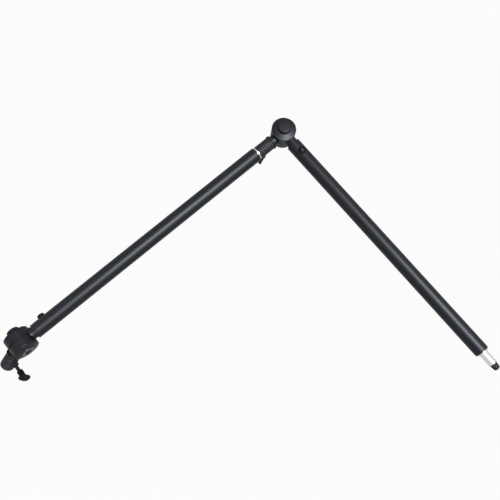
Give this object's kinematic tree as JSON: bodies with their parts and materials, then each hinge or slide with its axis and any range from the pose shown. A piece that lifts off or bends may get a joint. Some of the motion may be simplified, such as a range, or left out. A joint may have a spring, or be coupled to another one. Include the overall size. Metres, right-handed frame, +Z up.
{
  "type": "light extension arm",
  "caption": "Folding extension arm with friction hinges, tube sections, a socket with a thumb screw at its base and a capped spigot at its free end.",
  "frame": {"origin": "centre of the base socket's mouth, in the plane of its rim", "axes": "+Z up the base socket's bore, towards the hinge; +Y along the base hinge, from its bolt head to its plug; +X the side to which the lower section leans"},
  "size_m": [0.4404, 0.5612, 0.514],
  "materials": {
    "cast_black": "satin",
    "tube_black": "satin",
    "moulded_black": "satin",
    "wing_plastic": "satin",
    "cap_rubber": "matte",
    "bright_steel": "polished",
    "steel": "satin",
    "screw_black": "satin",
    "brass": "satin",
    "friction_fibre": "matte"
  },
  "bodies": {
    "base": {"base_receiver": "cast_black", "base_bolt_cover": "cast_black", "base_disc_spring": "steel", "base_friction_disc": "friction_fibre"},
    "base_screw_pad": {"base_tip_pad": "brass"},
    "base_screw": {"base_thumb_screw": "screw_black", "base_thumb_wing": "wing_plastic"},
    "lower_arm": {"lower_hinge_head": "cast_black", "lower_hinge_nut": "steel", "lower_plug_cover": "cast_black", "lower_hinge_plug": "moulded_black", "lower_tube": "tube_black", "lower_cup_washer": "moulded_black", "lower_stem_screw": "screw_black", "lower_spigot": "bright_steel"},
    "lower_bolt": {"lower_tension_bolt": "steel"},
    "elbow": {"elbow_receiver": "cast_black", "elbow_bolt_cover": "cast_black", "elbow_disc_spring": "steel", "elbow_friction_disc": "friction_fibre"},
    "elbow_screw_pad": {"elbow_tip_pad": "brass"},
    "elbow_screw": {"elbow_thumb_screw": "screw_black", "elbow_thumb_wing": "wing_plastic"},
    "upper_arm": {"upper_hinge_head": "cast_black", "upper_hinge_nut": "steel", "upper_plug_cover": "cast_black", "upper_hinge_plug": "moulded_black", "upper_tube": "tube_black", "upper_cup_washer": "moulded_black", "upper_stem_screw": "screw_black", "upper_spigot": "bright_steel"},
    "upper_bolt": {"upper_tension_bolt": "steel"},
    "cap": {"thread_cap": "cap_rubber"}
  },
  "joints": [
    {"name": "base_tilt", "type": "hinge", "parent": "base", "child": "lower_arm", "pos_m": [0, 0, 0.06], "axis": [0, 1, 0], "range_deg": [-160.7, 79.3]},
    {"name": "elbow_swivel", "type": "hinge", "parent": "lower_arm", "child": "elbow", "pos_m": [0.32827, 0, 0.44164], "axis": [0.6521, 0, 0.7581], "continuous": true},
    {"name": "elbow_fold", "type": "hinge", "parent": "elbow", "child": "upper_arm", "pos_m": [0.36739, 0, 0.48713], "axis": [-0.7533, -0.1132, 0.6479], "range_deg": [-29.3, 210.7]},
    {"name": "lower_bolt_turn", "type": "hinge", "parent": "lower_arm", "child": "lower_bolt", "pos_m": [0, 0, 0.06], "axis": [0, -1, 0], "range_deg": [-180, 180]},
    {"name": "upper_bolt_turn", "type": "hinge", "parent": "upper_arm", "child": "upper_bolt", "pos_m": [0.36739, 0, 0.48713], "axis": [0.7533, 0.1132, -0.6479], "range_deg": [-180, 180]},
    {"name": "base_screw_travel", "type": "slide", "parent": "base", "child": "base_screw_pad", "axis": [0, -1, 0], "range_m": [-0.0013, 0.0077]},
    {"name": "base_screw_turn", "type": "hinge", "parent": "base_screw_pad", "child": "base_screw", "pos_m": [0, 0, 0.016], "axis": [0, -1, 0], "range_deg": [-360, 2160]},
    {"name": "elbow_screw_travel", "type": "slide", "parent": "elbow", "child": "elbow_screw_pad", "axis": [0.7533, 0.1132, -0.6479], "range_m": [0, 0.0026]},
    {"name": "elbow_screw_turn", "type": "hinge", "parent": "elbow_screw_pad", "child": "elbow_screw", "pos_m": [0.3387, 0, 0.45377], "axis": [0.7533, 0.1132, -0.6479], "range_deg": [0, 720]},
    {"name": "cap_pull", "type": "slide", "parent": "upper_arm", "child": "cap", "axis": [0.0779, -0.9935, -0.0831], "range_m": [0, 0.012]}
  ],
  "couplings": [
    {"joint": "base_screw_travel", "follows": "base_screw_turn", "m_per_rad": 0.00020213},
    {"joint": "elbow_screw_travel", "follows": "elbow_screw_turn", "m_per_rad": 0.00020213}
  ]
}
